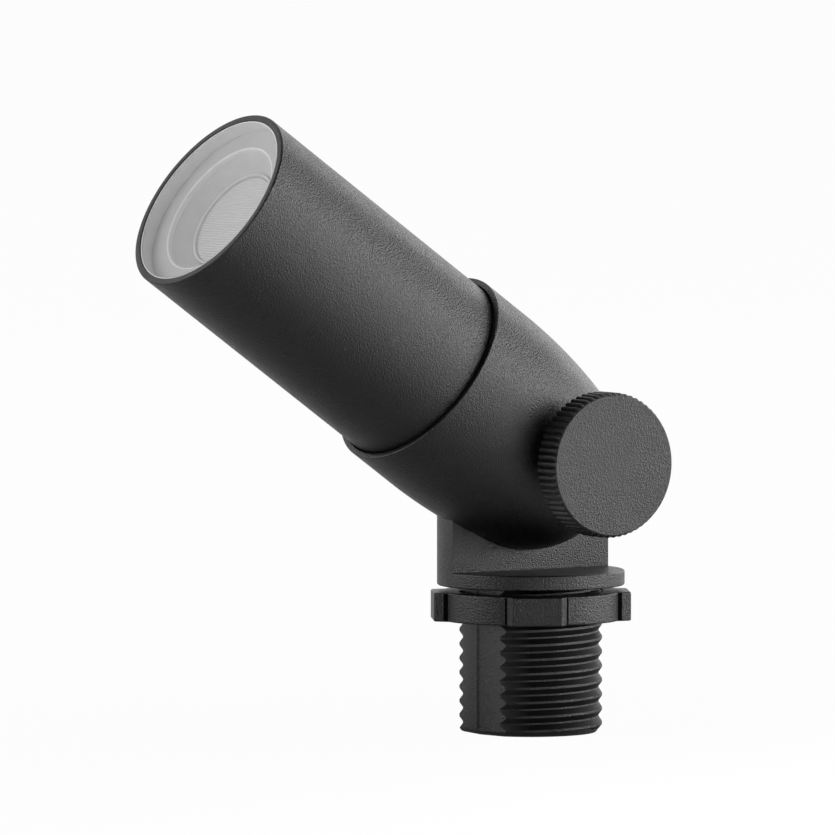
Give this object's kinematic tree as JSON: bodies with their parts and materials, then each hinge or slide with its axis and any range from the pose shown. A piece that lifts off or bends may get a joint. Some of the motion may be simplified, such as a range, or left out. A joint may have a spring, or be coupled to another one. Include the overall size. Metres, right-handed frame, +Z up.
{
  "type": "accent light",
  "caption": "Black tubular outdoor accent spotlight that tilts on a side knuckle clamped by a ribbed thumb knob, above a flanged threaded stem with a lugged locknut.",
  "frame": {"origin": "centre of the flange's underside, on the axis of the threaded stem", "axes": "+Z up along the stem, the pivot along Y with the knob on the -Y side, the head aiming towards -X and up at rest"},
  "size_m": [0.0752, 0.0356, 0.0874],
  "materials": {
    "coated_metal": "matte",
    "moulded_black": "matte",
    "window_glass": "gloss",
    "reflector_grey": "satin",
    "lens_ring": "satin",
    "clear_acrylic": "gloss",
    "led_package": "gloss",
    "bare_aluminium": "satin",
    "board_laminate": "satin",
    "ferrite": "matte",
    "lead_jacket": "satin",
    "seal_rubber": "matte",
    "pale_silicone": "satin",
    "brass": "satin",
    "steel": "satin"
  },
  "bodies": {
    "base": {"knuckle_base": "moulded_black", "pivot_insert": "brass", "pivot_seal": "seal_rubber", "stem_grommet": "seal_rubber"},
    "head": {"front_tube": "coated_metal", "rear_housing": "coated_metal", "front_glass": "window_glass", "glass_gasket": "pale_silicone", "reflector_cup": "reflector_grey", "lens_holder": "lens_ring", "tir_lens": "clear_acrylic", "led_chip": "led_package", "led_board": "bare_aluminium", "heat_sink": "bare_aluminium", "driver_board": "board_laminate", "driver_coil": "ferrite", "driver_capacitor": "bare_aluminium", "led_leads": "lead_jacket", "body_seal": "seal_rubber", "head_grommet": "seal_rubber", "pivot_bush": "brass", "spring_washer": "steel"},
    "clamp_washer": {"knob_washer": "steel"},
    "knob": {"thumb_knob": "moulded_black", "knob_stud": "steel"},
    "nut": {"locknut": "moulded_black"}
  },
  "joints": [
    {"name": "head_tilt", "type": "hinge", "parent": "base", "child": "head", "pos_m": [0, 0, 0.0178], "axis": [0, 1, 0], "range_deg": [0, 110]},
    {"name": "knob_travel", "type": "slide", "parent": "base", "child": "clamp_washer", "axis": [0, -1, 0], "range_m": [0, 0.002]},
    {"name": "knob_turn", "type": "hinge", "parent": "clamp_washer", "child": "knob", "pos_m": [0, 0, 0.0178], "axis": [0, -1, 0], "range_deg": [0, 720]},
    {"name": "nut_travel", "type": "slide", "parent": "base", "child": "nut", "axis": [0, 0, -1], "range_m": [-0.0008, 0.016]}
  ],
  "couplings": [
    {"joint": "knob_travel", "follows": "knob_turn", "m_per_rad": 0.00015915}
  ]
}
